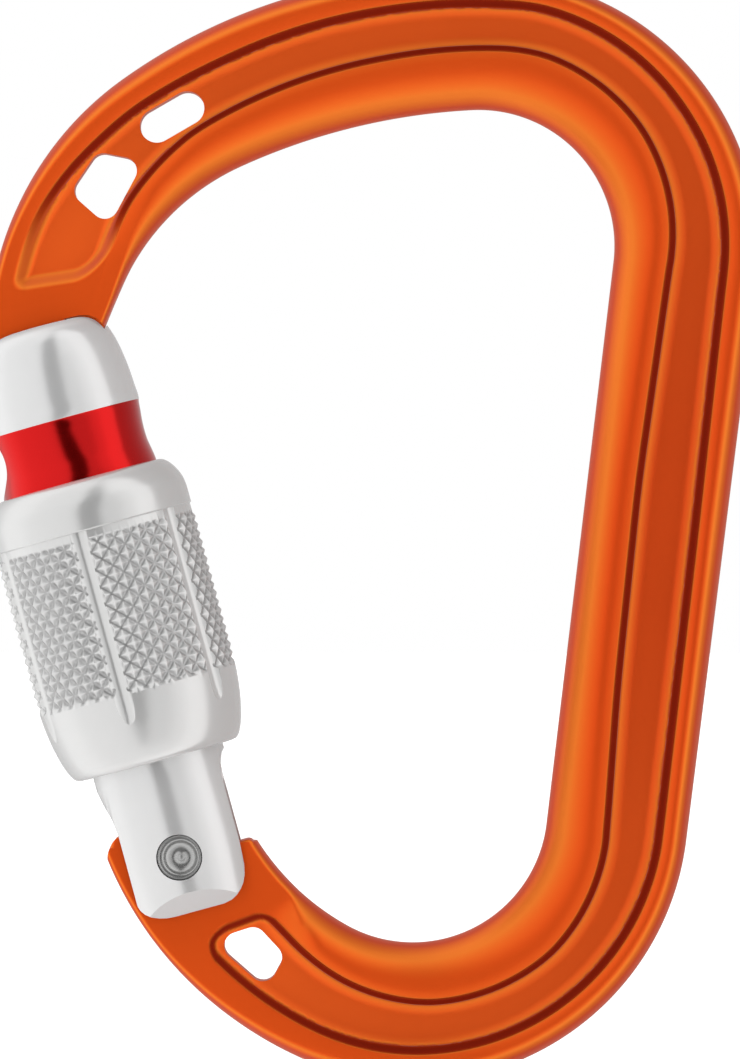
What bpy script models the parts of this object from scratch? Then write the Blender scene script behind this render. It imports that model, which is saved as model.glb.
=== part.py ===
"""A pear-shaped locking carabiner with a screw sleeve, as separate pieces.

The ring lies in the XZ plane, its thickness is along Y, and the origin is the middle of its box.
Sizes are in millimetres and degrees until a mesh is made, when MM turns them into metres.
Places in the ring's plane are (x, z). Places on the gate are (across, along): along is the distance
up the gate from the hinge rivet, and across is the distance towards the rope side.
"""

import math

import bmesh
import bpy
from mathutils import Matrix, Vector

MM = 0.001

# Hinge and gate
RIVET = Vector((-18.61, -32.06))
GATE_TILT = 15.34  # the gate leans away from the spine
GATE_OFFSET = 0.23  # the gate's centre line passes this far to the rope side of the rivet
ROUND_STEPS = 36

# Frame outlines: each starts on the spine and runs on smoothly, as (radius, sweep) arcs
INNER_START = Vector((20.62, -0.67))
INNER_HEADING = 83.2
INNER_UP_LINE = 26.96
INNER_UP_ARCS = ((13.3, 99.8), (62.5, 21.5), (23.2, 40.5), (80.0, 4.6))
INNER_DOWN_LINE = 28.5
INNER_DOWN_ARCS = ((13.2, 112.5), (24.7, 28.3))
OUTER_START = Vector((34.56, -1.95))
OUTER_HEADING = 82.8
OUTER_UP_LINE = 26.18
OUTER_UP_ARCS = ((26.7, 90.2), (55.25, 42.7), (31.35, 50.0), (31.35, 6.4))
OUTER_DOWN_LINE = 28.97
OUTER_DOWN_ARCS = ((26.95, 106.6), (36.5, 45.8))
UP_STEPS = (13, 9, 8, 3)
DOWN_STEPS = (14, 8)
POCKET_UP_STEPS = (14, 8, 7, 2)
POCKET_DOWN_STEPS = (15, 7)

# Frame section
RAIL_HALF = 4.8  # half the thickness of the two rails
CHEEK_HALF = 3.1  # half the thickness of the flat cheek at the hinge
NOSE_HALF = 3.3
WEB_HALF = 1.9
INNER_ROUND = 4.0  # the rope bears on this rounded edge
OUTER_ROUND = 2.2
INNER_RAIL = 4.5  # distance from the inner outline to the pocket
OUTER_RAIL = 2.65
INNER_ROUND_STEPS = 5
OUTER_ROUND_STEPS = 4
POCKET_CORNER = 1.4
# The pocket ends at lines, each a point and a heading, with the pocket on the line's left
HINGE_END_LINE = (Vector((-12.5, -38.56)), 200.2)
HINGE_SIDE_LINE = (Vector((-15.15, -40.47)), 250.7)
NOSE_END_LINE = (Vector((-33.3, 23.23)), 8.8)

# Openings through the web
SLOT_MIDDLE = Vector((-19.4, 40.15))
SLOT_LENGTH = 6.6
SLOT_WIDTH = 3.0
SLOT_HEADING = 30.0
NOSE_WINDOW = ((-27.75, 36.7), (-22.5, 36.15), (-25.6, 29.65), (-29.5, 33.1))
HINGE_WINDOW = ((-15.2, -40.3), (-10.7, -38.9), (-8.2, -41.5), (-10.05, -44.8))
WINDOW_CORNER = 0.9

# Hinge tang, on the frame, with a cam for the plunger
TANG_HALF = 3.0
CAM_RADIUS = 5.0
CAM_LIFT = 1.0
OPENING_ANGLE = 27.0
TANG_CORNER = 1.2

# Nose lock: a round head on a thin neck, both swept about the rivet so that the gate can swing off
HEAD_CENTRE = 42.3  # distance from the rivet
HEAD_ROUND = 3.2
NECK_TOP = 47.6
NECK_HALF = 2.2
LOCK_ANGLES = (-8.4, 3.3)  # seen from the rivet, from the gate's outer side to inside the gate
OPEN_SIDE_ANGLE = -17.0
NOSE_REACH = 57.0
LOCK_GAP = 0.3
POCKET_REACH = 0.4
KEY_STEPS = 16

# Gate
EAR_OUTER_FLAT = -5.4  # the two flats of the ears, measured from the rivet
EAR_OUTER_TOP = 3.4
EAR_ROPE_FLAT = 6.3
EAR_ROPE_TOP = 7.2
EAR_RUN_OUT = (1.2, 2.8)
EAR_FLAT_DEPTH = 4.0
EAR_BELOW = -7.0  # the ears' cutters reach below and beside the gate
EAR_GAP_SIDE = 9.0
EAR_GAP_HALF = 3.4
EAR_GAP_TOP = 7.6
SPRING_BORE = 2.6
SPRING_BORE_TOP = 30.0
NOSE_SLOT_TOP = ((6.9, 52.1), (10.0, 55.5), (-12.0, 55.5))

# Rivet
SHANK_RADIUS = 1.95
HEAD_RADIUS = 2.2
HEAD_SEAT = 5.2
RUNNING_GAP = 0.06
END_FLOAT = 0.05

# Sleeve
FLUTES = 6
FLUTE_RADIUS = 0.85
FLUTE_CENTRE = 10.35
FLUTE_PHASE = -97.5
FLUTE_SPAN = (12.0, 32.9)
RING_SPAN = (24.9, 25.9)
RING_INNER = 7.4
RING_OUTER = 8.3
RING_SPLIT = 16.0

# Spring
COIL_RADIUS = 1.8
WIRE_RADIUS = 0.3
COIL_SPAN = (10.8, 29.5)
COIL_TURNS = 9
COIL_STEPS = 12


# ---- Scene and materials -------------------------------------------------------------------------


def clear_scene():
    for obj in list(bpy.data.objects):
        bpy.data.objects.remove(obj, do_unlink=True)


def new_collection(name):
    collection = bpy.data.collections.new(name)
    bpy.context.scene.collection.children.link(collection)
    return collection


def metal(name, colour, roughness):
    material = bpy.data.materials.new(name)
    material.use_nodes = True
    shader = material.node_tree.nodes["Principled BSDF"]
    shader.inputs["Base Color"].default_value = (*colour, 1.0)
    shader.inputs["Metallic"].default_value = 1.0
    shader.inputs["Roughness"].default_value = roughness
    return material


def plastic(name, colour, roughness):
    material = metal(name, colour, roughness)
    material.node_tree.nodes["Principled BSDF"].inputs["Metallic"].default_value = 0.0
    return material


# ---- Outlines in the plane -----------------------------------------------------------------------


def toward(heading):
    angle = math.radians(heading)
    return Vector((math.cos(angle), math.sin(angle)))


def follow(start, heading, line, arcs, turn, steps):
    """Points of a line and then arcs, each leaving the last smoothly. turn is 1 for left, -1 for right."""
    points = [start.copy(), start + toward(heading) * line]
    for (radius, sweep), count in zip(arcs, steps):
        centre = points[-1] + toward(heading + 90 * turn) * radius
        for step in range(1, count + 1):
            angle = heading + turn * sweep * step / count
            points.append(centre - toward(angle + 90 * turn) * radius)
        heading += turn * sweep
    return points


def inner_outline(inset=0.0, up_steps=UP_STEPS, down_steps=DOWN_STEPS):
    """The rope-side outline, from the hinge round to the nose, moved into the metal by inset."""
    start = INNER_START - toward(INNER_HEADING + 90) * inset
    up_arcs = [(radius + inset, sweep) for radius, sweep in INNER_UP_ARCS]
    down_arcs = [(radius + inset, sweep) for radius, sweep in INNER_DOWN_ARCS]
    up = follow(start, INNER_HEADING, INNER_UP_LINE, up_arcs, 1, up_steps)
    down = follow(start, INNER_HEADING + 180, INNER_DOWN_LINE, down_arcs, -1, down_steps)
    return down[:0:-1] + up


def outer_outline(inset=0.0, up_steps=UP_STEPS, down_steps=DOWN_STEPS):
    """The outer outline, from the hinge round to the nose, moved into the metal by inset."""
    start = OUTER_START + toward(OUTER_HEADING + 90) * inset
    up_arcs = [(radius - inset, sweep) for radius, sweep in OUTER_UP_ARCS]
    down_arcs = [(radius - inset, sweep) for radius, sweep in OUTER_DOWN_ARCS]
    up = follow(start, OUTER_HEADING, OUTER_UP_LINE, up_arcs, 1, up_steps)
    down = follow(start, OUTER_HEADING + 180, OUTER_DOWN_LINE, down_arcs, -1, down_steps)
    return down[:0:-1] + up


def start_at(outline, line):
    """The open outline from where it first crosses to the left of a line, a point and a heading.

    The next point is left out where it would crowd the rounding of the new corner.
    """
    point, heading = line
    heights = [(place - point).dot(toward(heading + 90)) for place in outline]
    for index in range(1, len(outline)):
        below, above = heights[index - 1], heights[index]
        if below < 0 <= above:
            first = outline[index - 1].lerp(outline[index], below / (below - above))
            crowded = (outline[index] - first).length < 2 * POCKET_CORNER
            return [first] + outline[index + crowded:]
    return outline


def crossing(line, other):
    """Where two lines meet."""
    (point, heading), (other_point, other_heading) = line, other
    normal = toward(other_heading + 90)
    return point + toward(heading) * ((other_point - point).dot(normal) / toward(heading).dot(normal))


def rounded(corners, radius, steps=4, least_turn=22.0):
    """The outline with an arc in place of each corner that turns by more than least_turn."""
    outline = []
    for index, corner in enumerate(corners):
        back = (corners[index - 1] - corner).normalized()
        ahead = (corners[(index + 1) % len(corners)] - corner).normalized()
        half = back.angle(ahead) / 2
        if math.degrees(math.pi - 2 * half) < least_turn:
            outline.append(corner)
            continue
        middle = corner + (back + ahead).normalized() * (radius / math.sin(half))
        first = corner + back * (radius / math.tan(half)) - middle
        last = corner + ahead * (radius / math.tan(half)) - middle
        for step in range(steps + 1):
            blend = first.slerp(last, step / steps)
            outline.append(middle + blend.normalized() * radius)
    return outline


def arc(radius, start, end, steps):
    """Points of an arc about the rivet, in gate places. Angles run clockwise from the gate's axis."""
    angles = [math.radians(start + (end - start) * step / steps) for step in range(steps + 1)]
    return [Vector((radius * math.sin(angle), radius * math.cos(angle))) for angle in angles]


def gate_to_plane(place):
    """A place on the gate, measured from the rivet, as a place in the ring's plane."""
    return RIVET + toward(GATE_TILT) * place.x + toward(GATE_TILT + 90) * place.y


# ---- Making solids -------------------------------------------------------------------------------


def add_object(name, mesh, collection, material=None, parent=None):
    obj = bpy.data.objects.new(name, mesh)
    collection.objects.link(obj)
    obj.parent = parent
    if material:
        mesh.materials.append(material)
    return obj


def as_helper(obj):
    obj.hide_render = True
    obj.display_type = "WIRE"
    return obj


def plate(name, outline, half_thickness, middle=0.0):
    """A flat plate in the ring's plane, made from a filled 2D curve and turned into a closed mesh."""
    curve = bpy.data.curves.new(name, "CURVE")
    curve.dimensions = "2D"
    curve.fill_mode = "BOTH"
    curve.extrude = half_thickness * MM
    spline = curve.splines.new("POLY")
    spline.points.add(len(outline) - 1)
    for point, place in zip(spline.points, outline):
        point.co = (place.x * MM, place.y * MM, 0, 1)
    spline.use_cyclic_u = True
    drawn = bpy.data.objects.new(name, curve)
    bpy.context.scene.collection.objects.link(drawn)
    mesh = bpy.data.meshes.new_from_object(
        drawn.evaluated_get(bpy.context.evaluated_depsgraph_get())
    )
    bpy.data.objects.remove(drawn)
    bpy.data.curves.remove(curve)
    shape = bmesh.new()
    shape.from_mesh(mesh)
    bmesh.ops.remove_doubles(shape, verts=shape.verts, dist=1e-6)
    upright = Matrix.Translation((0, middle * MM, 0)) @ Matrix.Rotation(math.pi / 2, 4, "X")
    bmesh.ops.transform(shape, matrix=upright, verts=shape.verts)
    bmesh.ops.recalc_face_normals(shape, faces=shape.faces)
    shape.to_mesh(mesh)
    shape.free()
    mesh.name = name
    return mesh


def turned(name, profile, collection, material=None, parent=None, closed=False, steps=ROUND_STEPS):
    """A solid of revolution about local Z. The profile runs down the outer side."""
    mesh = bpy.data.meshes.new(name)
    points = [(radius * MM, 0, along * MM) for radius, along in profile]
    edges = [(index, index + 1) for index in range(len(points) - 1)]
    if closed:
        edges.append((len(points) - 1, 0))
    mesh.from_pydata(points, edges, [])
    obj = add_object(name, mesh, collection, material, parent)
    screw = obj.modifiers.new("Turn", "SCREW")
    screw.steps = steps
    screw.render_steps = steps
    screw.use_merge_vertices = True
    screw.merge_threshold = 1e-6
    screw.use_smooth_shade = True
    return obj


def spun(name, shape, axis, angle, steps, centre=Vector()):
    """Sweeps the one face of shape about an axis through the origin, then moves it to centre."""
    bmesh.ops.spin(shape, geom=shape.faces[:], axis=axis, cent=(0, 0, 0), angle=angle, steps=steps)
    bmesh.ops.holes_fill(shape, edges=[edge for edge in shape.edges if edge.is_boundary])
    bmesh.ops.translate(shape, verts=shape.verts, vec=centre)
    bmesh.ops.recalc_face_normals(shape, faces=shape.faces)
    mesh = bpy.data.meshes.new(name)
    shape.to_mesh(mesh)
    shape.free()
    return mesh


def boolean(obj, other, operation="DIFFERENCE"):
    modifier = obj.modifiers.new(other.name, "BOOLEAN")
    modifier.operation = operation
    modifier.solver = "EXACT"
    modifier.object = other


def smooth(obj, angle=30.0):
    obj.data.shade_smooth()
    obj.data.set_sharp_from_angle(angle=math.radians(angle))


# ---- Frame ---------------------------------------------------------------------------------------


def ease(value):
    value = min(max(value, 0.0), 1.0)
    return value * value * (3 - 2 * value)


def rail_heights(station, last):
    """Half thicknesses of the inner and the outer rail at a station, counted from the hinge."""
    nose = ease((last - station - 3) / 6)
    to_nose = NOSE_HALF + (RAIL_HALF - NOSE_HALF) * nose
    inner = CHEEK_HALF + (RAIL_HALF - CHEEK_HALF) * ease((station - 5) / 2)
    outer = CHEEK_HALF + (RAIL_HALF - CHEEK_HALF) * ease((station - 3) / 9)
    return min(inner, to_nose), min(outer, to_nose)


def frame_section(inner, outer, inner_half, outer_half):
    """One closed section across the frame, with a rounded edge towards the rope and one outside."""
    across = outer - inner
    width = across.length
    across.normalize()
    front = []
    for step in range(INNER_ROUND_STEPS + 1):
        angle = math.radians(90 * step / INNER_ROUND_STEPS)
        front.append((INNER_ROUND * (1 - math.cos(angle)), inner_half * math.sin(angle)))
    for step in range(OUTER_ROUND_STEPS, -1, -1):
        angle = math.radians(90 * step / OUTER_ROUND_STEPS)
        front.append((width - OUTER_ROUND * (1 - math.cos(angle)), outer_half * math.sin(angle)))
    loop = [(distance, -depth) for distance, depth in front]
    loop += [(distance, depth) for distance, depth in front[-2:0:-1]]
    places = [(inner + across * distance, depth) for distance, depth in loop]
    return [(place.x * MM, depth * MM, place.y * MM) for place, depth in places]


def frame_blank(collection, material):
    """The forged bar bent round the ring, before its pockets are pressed."""
    inner, outer = inner_outline(), outer_outline()
    last = len(inner) - 1
    shape = bmesh.new()
    rings = []
    for station in range(last + 1):
        halves = rail_heights(station, last)
        section = frame_section(inner[station], outer[station], *halves)
        rings.append([shape.verts.new(place) for place in section])
    for ring, following in zip(rings, rings[1:]):
        for index in range(len(ring)):
            beside = (index + 1) % len(ring)
            shape.faces.new((ring[index], ring[beside], following[beside], following[index]))
    shape.faces.new(rings[0])
    shape.faces.new(rings[-1])
    bmesh.ops.recalc_face_normals(shape, faces=shape.faces)
    bmesh.ops.triangulate(shape, faces=shape.faces)
    mesh = bpy.data.meshes.new("frame_body")
    shape.to_mesh(mesh)
    shape.free()
    return add_object("frame_body", mesh, collection, material)


def pocket_outline():
    steps = POCKET_UP_STEPS, POCKET_DOWN_STEPS
    inner = start_at(inner_outline(INNER_RAIL, *steps), HINGE_END_LINE)
    outer = start_at(outer_outline(OUTER_RAIL, *steps), HINGE_SIDE_LINE)
    inner_to_hinge = start_at(inner[::-1], NOSE_END_LINE)
    outer_to_hinge = start_at(outer[::-1], NOSE_END_LINE)
    corner = crossing(HINGE_END_LINE, HINGE_SIDE_LINE)
    return rounded(inner_to_hinge[::-1] + outer_to_hinge + [corner], POCKET_CORNER)


def slot_outline():
    run = toward(SLOT_HEADING)
    half = SLOT_LENGTH / 2 - SLOT_WIDTH / 2
    outline = []
    for side, turn in ((1, -90), (-1, 90)):
        centre = SLOT_MIDDLE + run * half * side
        for step in range(9):
            outline.append(centre + toward(SLOT_HEADING + turn + 22.5 * step) * SLOT_WIDTH / 2)
    return outline


def tang_outline():
    """The hinge tang: a cam over the rivet, a shoulder on the rope side, and a root in the cheek."""
    corners = [Vector((-6.55, 0.0)), Vector((-6.3, 3.1)), Vector((-4.0, 4.2))]
    for step in range(7):
        turn = OPENING_ANGLE * 1.5 * step / 6
        corners += arc(CAM_RADIUS + CAM_LIFT * turn / OPENING_ANGLE, turn, turn, 1)[:1]
    corners += [Vector((5.2, 3.5)), Vector((5.3, -0.6)), Vector((7.0, -0.6)), Vector((7.2, -8.5))]
    corners += [Vector((-1.5, -8.5))]
    return [gate_to_plane(corner) for corner in rounded(corners, TANG_CORNER, 3, 50.0)]


def nose_outline():
    """The nose between the gate's cheeks, from the top of the neck up into the rounded bar."""
    lower = arc(NECK_TOP, -6.4, 2.9, 4)
    upper = [Vector((6.2, 52.2)), Vector((6.0, NOSE_REACH)), Vector((-2.0, NOSE_REACH))]
    upper += [Vector((-4.9, 52.8))]
    return [gate_to_plane(place) for place in lower + upper]


def key_profile(grow):
    """The lock's section, as (sideways, distance from the rivet): a round head with a neck above."""
    radius = HEAD_ROUND + grow
    neck = NECK_HALF + grow
    neck_turn = math.degrees(math.asin(neck / radius))
    profile = [(-neck, NECK_TOP + 0.7), (neck, NECK_TOP + 0.7)]
    for step in range(KEY_STEPS + 1):
        angle = math.radians(neck_turn + (360 - 2 * neck_turn) * step / KEY_STEPS)
        profile.append((radius * math.sin(angle), HEAD_CENTRE + radius * math.cos(angle)))
    return profile


def key_solid(name, grow, angles, steps):
    """The lock's section swept about the rivet between two angles, which run clockwise."""
    start, end = (math.radians(angle) for angle in angles)
    shape = bmesh.new()
    section = [shape.verts.new((0, sideways * MM, out * MM)) for sideways, out in key_profile(grow)]
    shape.faces.new(section)
    lean = math.radians(-GATE_TILT) + start
    bmesh.ops.rotate(shape, verts=shape.verts, matrix=Matrix.Rotation(lean, 3, "Y"))
    return spun(name, shape, (0, 1, 0), end - start, steps, Vector((RIVET.x, 0, RIVET.y)) * MM)


def make_frame(parts, helpers, material):
    frame = frame_blank(parts, material)
    joined = (
        ("tang", plate("tang", tang_outline(), TANG_HALF)),
        ("nose", plate("nose", nose_outline(), NOSE_HALF - 0.05)),
        ("key", key_solid("key", 0.0, LOCK_ANGLES, 5)),
    )
    for name, mesh in joined:
        boolean(frame, as_helper(add_object(name, mesh, helpers)), "UNION")
    depth = RAIL_HALF
    for side in (-1, 1):
        name = f"pocket_{'front' if side < 0 else 'back'}"
        mesh = plate(name, pocket_outline(), depth, side * (WEB_HALF + depth))
        boolean(frame, as_helper(add_object(name, mesh, helpers)))
    windows = (
        ("slot", slot_outline()),
        ("nose_window", rounded([Vector(corner) for corner in NOSE_WINDOW], WINDOW_CORNER)),
        ("hinge_window", rounded([Vector(corner) for corner in HINGE_WINDOW], WINDOW_CORNER)),
        ("rivet_hole", [RIVET + toward(10 * step) * (SHANK_RADIUS + RUNNING_GAP) for step in range(36)]),
    )
    for name, outline in windows:
        mesh = plate(name, outline, 2 * RAIL_HALF)
        boolean(frame, as_helper(add_object(name, mesh, helpers)))
    smooth(frame)
    return frame


# ---- Gate ----------------------------------------------------------------------------------------

CAP_PROFILE = (
    (0, 53.5), (4.4, 53.5), (5.6, 53.1), (6.35, 52.3), (6.8, 51.4), (7.1, 50.3), (7.36, 48.8),
    (7.56, 47.2), (7.65, 44.2),
)
BAND_PROFILE = ((7.42, 42.4), (7.38, 41.2), (7.45, 40.0), (7.72, 38.5))
BARREL_PROFILE = (
    (7.72, 36.2), (7.0, 35.5), (7.0, 34.4), (7.2, 34.2), (7.2, 13.0), (6.5, 12.2), (6.5, -4.2),
    (5.6, -5.4), (0, -5.4),
)


def ear_flat_outline(side, face, top):
    """What is milled off one side of the ears, up to a sloping run-out."""
    inner, outer = face, face + side * EAR_FLAT_DEPTH
    run_out = Vector((face + side * EAR_RUN_OUT[0], top + EAR_RUN_OUT[1]))
    far_top = Vector((outer, run_out.y))
    return [Vector((inner, EAR_BELOW)), Vector((inner, top)), run_out, far_top, Vector((outer, EAR_BELOW))]


def gate_slots():
    """The flat cutters of the gate, as (name, outline in gate places, half thickness)."""
    nose = arc(NECK_TOP - LOCK_GAP, OPEN_SIDE_ANGLE, LOCK_ANGLES[1], 4)
    nose += [Vector(place) for place in NOSE_SLOT_TOP]
    yield "nose_slot", nose, NOSE_HALF + LOCK_GAP
    side = EAR_GAP_SIDE
    gap = [Vector((-side, EAR_BELOW)), Vector((side, EAR_BELOW)), Vector((side, EAR_GAP_TOP))]
    gap += [Vector((-side, EAR_GAP_TOP))]
    yield "ear_gap", gap, EAR_GAP_HALF
    yield "ear_flat_outer", ear_flat_outline(-1, EAR_OUTER_FLAT, EAR_OUTER_TOP), EAR_GAP_SIDE
    yield "ear_flat_rope", ear_flat_outline(1, EAR_ROPE_FLAT, EAR_ROPE_TOP), EAR_GAP_SIDE


def gate_bores(helpers, hinge):
    """The turned cutters of the gate: the spring's bore up its middle and the rivet's stepped bore."""
    profile = ((0, SPRING_BORE_TOP), (SPRING_BORE, SPRING_BORE_TOP), (SPRING_BORE, 5.0), (0, 5.0))
    bore = turned("spring_bore", profile, helpers, parent=hinge, steps=24)
    bore.location.x = GATE_OFFSET * MM
    hole = SHANK_RADIUS + RUNNING_GAP
    seat = HEAD_RADIUS + RUNNING_GAP
    floor = HEAD_SEAT - END_FLOAT
    half = ((0, EAR_GAP_SIDE), (seat, EAR_GAP_SIDE), (seat, floor), (hole, floor))
    profile = half + tuple((radius, -along) for radius, along in half[::-1])
    rivet_bore = turned("rivet_bore", profile, helpers, parent=hinge)
    rivet_bore.rotation_euler.x = math.pi / 2
    return bore, rivet_bore


def gate_cutters(helpers, hinge):
    """What is taken out of the turned gate: nose slot, key pocket, ear gap, ear flats and bores."""
    for name, outline, half in gate_slots():
        mesh = plate(name, [gate_to_plane(place) for place in outline], half)
        yield as_helper(add_object(name, mesh, helpers))
    pocket_angles = (OPEN_SIDE_ANGLE, LOCK_ANGLES[1] + POCKET_REACH)
    mesh = key_solid("key_pocket", LOCK_GAP, pocket_angles, 8)
    yield as_helper(add_object("key_pocket", mesh, helpers))
    for bore in gate_bores(helpers, hinge):
        yield as_helper(bore)


def make_gate(parts, helpers, hinge, material):
    profile = CAP_PROFILE + BAND_PROFILE + BARREL_PROFILE
    gate = turned("gate_body", profile, parts, material, hinge)
    gate.location.x = GATE_OFFSET * MM
    for cutter in gate_cutters(helpers, hinge):
        boolean(gate, cutter)
    return gate


def make_rivet(parts, hinge, material):
    """A steel rivet with a dished head at each end, flush with the round of the ears."""
    half = [(0, 5.75), (0.7, 5.8), (1.3, 6.05), (1.65, 6.2), (2.05, 6.1), (HEAD_RADIUS, 5.9),
            (HEAD_RADIUS, HEAD_SEAT), (SHANK_RADIUS, HEAD_SEAT)]
    profile = half + [(radius, -along) for radius, along in half[::-1]]
    rivet = turned("gate_rivet", profile, parts, material, hinge)
    rivet.rotation_euler.x = math.pi / 2
    return rivet


def make_plunger(parts, hinge, material):
    tip = CAM_RADIUS + LOCK_GAP
    profile = ((0, 13.0), (1.1, 13.0), (1.1, 10.4), (2.3, 10.4), (2.3, 8.6), (1.5, 8.1), (1.5, tip + 1.5),
               (1.3, tip + 0.75), (0.75, tip + 0.2), (0, tip))
    plunger = turned("spring_plunger", profile, parts, material, hinge, steps=24)
    plunger.location.x = GATE_OFFSET * MM
    return plunger


def make_spring(parts, hinge, material):
    low, high = COIL_SPAN
    count = COIL_TURNS * COIL_STEPS
    curve = bpy.data.curves.new("return_spring", "CURVE")
    curve.dimensions = "3D"
    curve.bevel_depth = WIRE_RADIUS * MM
    curve.bevel_resolution = 2
    curve.use_fill_caps = True
    spline = curve.splines.new("POLY")
    spline.points.add(count)
    for step, point in enumerate(spline.points):
        angle = math.tau * step / COIL_STEPS
        along = low + (high - low) * step / count
        place = Vector((COIL_RADIUS * math.cos(angle), COIL_RADIUS * math.sin(angle), along)) * MM
        point.co = (*place, 1)
    spring = add_object("return_spring", curve, parts, material, hinge)
    spring.location.x = GATE_OFFSET * MM
    return spring


# ---- Sleeve --------------------------------------------------------------------------------------

SLEEVE_OUTSIDE = (
    (8.2, 38.0), (8.7, 37.6), (9.3, 36.95), (9.7, 36.2), (9.93, 35.4), (9.93, 33.1), (9.77, 33.0),
    (9.77, 32.3), (10.0, 32.1), (10.0, 17.6), (9.85, 16.2), (9.65, 14.3), (9.32, 12.7), (8.87, 11.2),
    (8.5, 10.3), (7.9, 9.6),
)
SLEEVE_INSIDE = (
    (7.5, 9.6), (7.5, 24.1), (8.0, 24.3), (8.0, 24.65), (8.55, 24.65), (8.55, 26.15), (8.0, 26.15),
    (8.0, 38.0),
)


def make_sleeve(parts, helpers, carrier, material):
    sleeve = turned("locking_sleeve", SLEEVE_OUTSIDE + SLEEVE_INSIDE, parts, material, carrier, closed=True)
    low, high = FLUTE_SPAN
    shape = bmesh.new()
    for index in range(FLUTES):
        turn = Matrix.Rotation(math.radians(FLUTE_PHASE + 360 * index / FLUTES), 4, "Z")
        place = turn @ Matrix.Translation(Vector((FLUTE_CENTRE, 0, (low + high) / 2)) * MM)
        bmesh.ops.create_cone(
            shape, cap_ends=True, segments=12, radius1=FLUTE_RADIUS * MM, radius2=FLUTE_RADIUS * MM,
            depth=(high - low) * MM, matrix=place,
        )
    mesh = bpy.data.meshes.new("flutes")
    shape.to_mesh(mesh)
    shape.free()
    boolean(sleeve, as_helper(add_object("flutes", mesh, helpers, parent=carrier)))
    return sleeve


def make_friction_ring(parts, carrier, material):
    """A split ring in the sleeve's groove: a rectangular section swept most of the way round."""
    low, high = RING_SPAN
    profile = ((RING_OUTER, high), (RING_OUTER, low), (RING_INNER, low), (RING_INNER, high))
    shape = bmesh.new()
    shape.faces.new([shape.verts.new((radius * MM, 0, along * MM)) for radius, along in profile])
    mesh = spun("friction_ring", shape, (0, 0, 1), math.radians(360 - RING_SPLIT), 30)
    return add_object("friction_ring", mesh, parts, material, carrier)


# ---- Assembly ------------------------------------------------------------------------------------


def add_empty(name, collection, parent=None):
    empty = bpy.data.objects.new(name, None)
    empty.empty_display_size = 10 * MM
    collection.objects.link(empty)
    empty.parent = parent
    return empty


def main():
    clear_scene()
    parts = new_collection("locking_carabiner")
    helpers = new_collection("cutters")
    helpers.hide_render = True

    orange = metal("orange_anodised", (0.80, 0.13, 0.02), 0.32)
    silver = metal("bright_anodised", (0.86, 0.86, 0.87), 0.28)
    knurled = metal("satin_anodised", (0.80, 0.80, 0.81), 0.38)
    steel = metal("stainless_steel", (0.56, 0.56, 0.57), 0.30)
    spring_steel = metal("spring_steel", (0.45, 0.45, 0.47), 0.35)
    plunger_steel = metal("ground_steel", (0.62, 0.62, 0.63), 0.22)
    nylon = plastic("nylon", (0.85, 0.84, 0.80), 0.45)

    hinge = add_empty("gate_axis", parts)
    hinge.location = Vector((RIVET.x, 0, RIVET.y)) * MM
    hinge.rotation_euler.y = -math.radians(GATE_TILT)
    carrier = add_empty("sleeve_axis", parts, hinge)
    carrier.location.x = GATE_OFFSET * MM

    make_frame(parts, helpers, orange)
    make_gate(parts, helpers, hinge, silver)
    make_rivet(parts, hinge, steel)
    make_plunger(parts, hinge, plunger_steel)
    make_spring(parts, hinge, spring_steel)
    make_sleeve(parts, helpers, carrier, knurled)
    make_friction_ring(parts, carrier, nylon)


main()
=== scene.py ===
import math

import bmesh
import bpy
import numpy as np
from mathutils import Matrix, Vector


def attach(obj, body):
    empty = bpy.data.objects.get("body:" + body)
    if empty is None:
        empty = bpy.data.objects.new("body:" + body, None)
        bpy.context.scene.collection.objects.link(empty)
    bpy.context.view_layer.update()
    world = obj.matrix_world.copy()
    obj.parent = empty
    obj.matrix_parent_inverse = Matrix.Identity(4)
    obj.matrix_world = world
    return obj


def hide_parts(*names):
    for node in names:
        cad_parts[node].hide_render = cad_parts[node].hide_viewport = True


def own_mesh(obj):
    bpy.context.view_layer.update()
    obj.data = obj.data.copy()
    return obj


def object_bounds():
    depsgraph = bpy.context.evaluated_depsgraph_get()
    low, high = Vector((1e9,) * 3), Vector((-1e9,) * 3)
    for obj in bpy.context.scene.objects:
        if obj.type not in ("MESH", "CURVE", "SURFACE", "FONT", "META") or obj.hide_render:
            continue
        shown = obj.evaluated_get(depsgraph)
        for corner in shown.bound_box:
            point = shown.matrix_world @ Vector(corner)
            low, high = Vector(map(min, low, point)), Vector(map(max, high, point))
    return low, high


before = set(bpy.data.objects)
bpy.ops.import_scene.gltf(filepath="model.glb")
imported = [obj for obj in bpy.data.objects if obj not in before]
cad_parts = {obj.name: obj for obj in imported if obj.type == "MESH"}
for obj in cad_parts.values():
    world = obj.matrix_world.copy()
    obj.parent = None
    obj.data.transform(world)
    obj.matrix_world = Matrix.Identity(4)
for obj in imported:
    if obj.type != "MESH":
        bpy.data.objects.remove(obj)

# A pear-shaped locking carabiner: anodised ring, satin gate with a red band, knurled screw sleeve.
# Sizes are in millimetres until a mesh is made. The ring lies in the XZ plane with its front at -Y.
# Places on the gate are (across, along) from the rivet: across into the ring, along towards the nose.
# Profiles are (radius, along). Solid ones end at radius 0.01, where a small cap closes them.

CAD_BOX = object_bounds()
MM = 0.001

# Hinge and gate axis, as in the CAD
RIVET = np.array((-18.61, -32.06))
RIVET_HOLE = 2.01  # radius
GATE_TILT = 15.34  # degrees from upright
GATE_OFFSET = 0.23  # from the rivet across to the bar's axis
OPENING_ANGLE = 27.0

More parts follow.
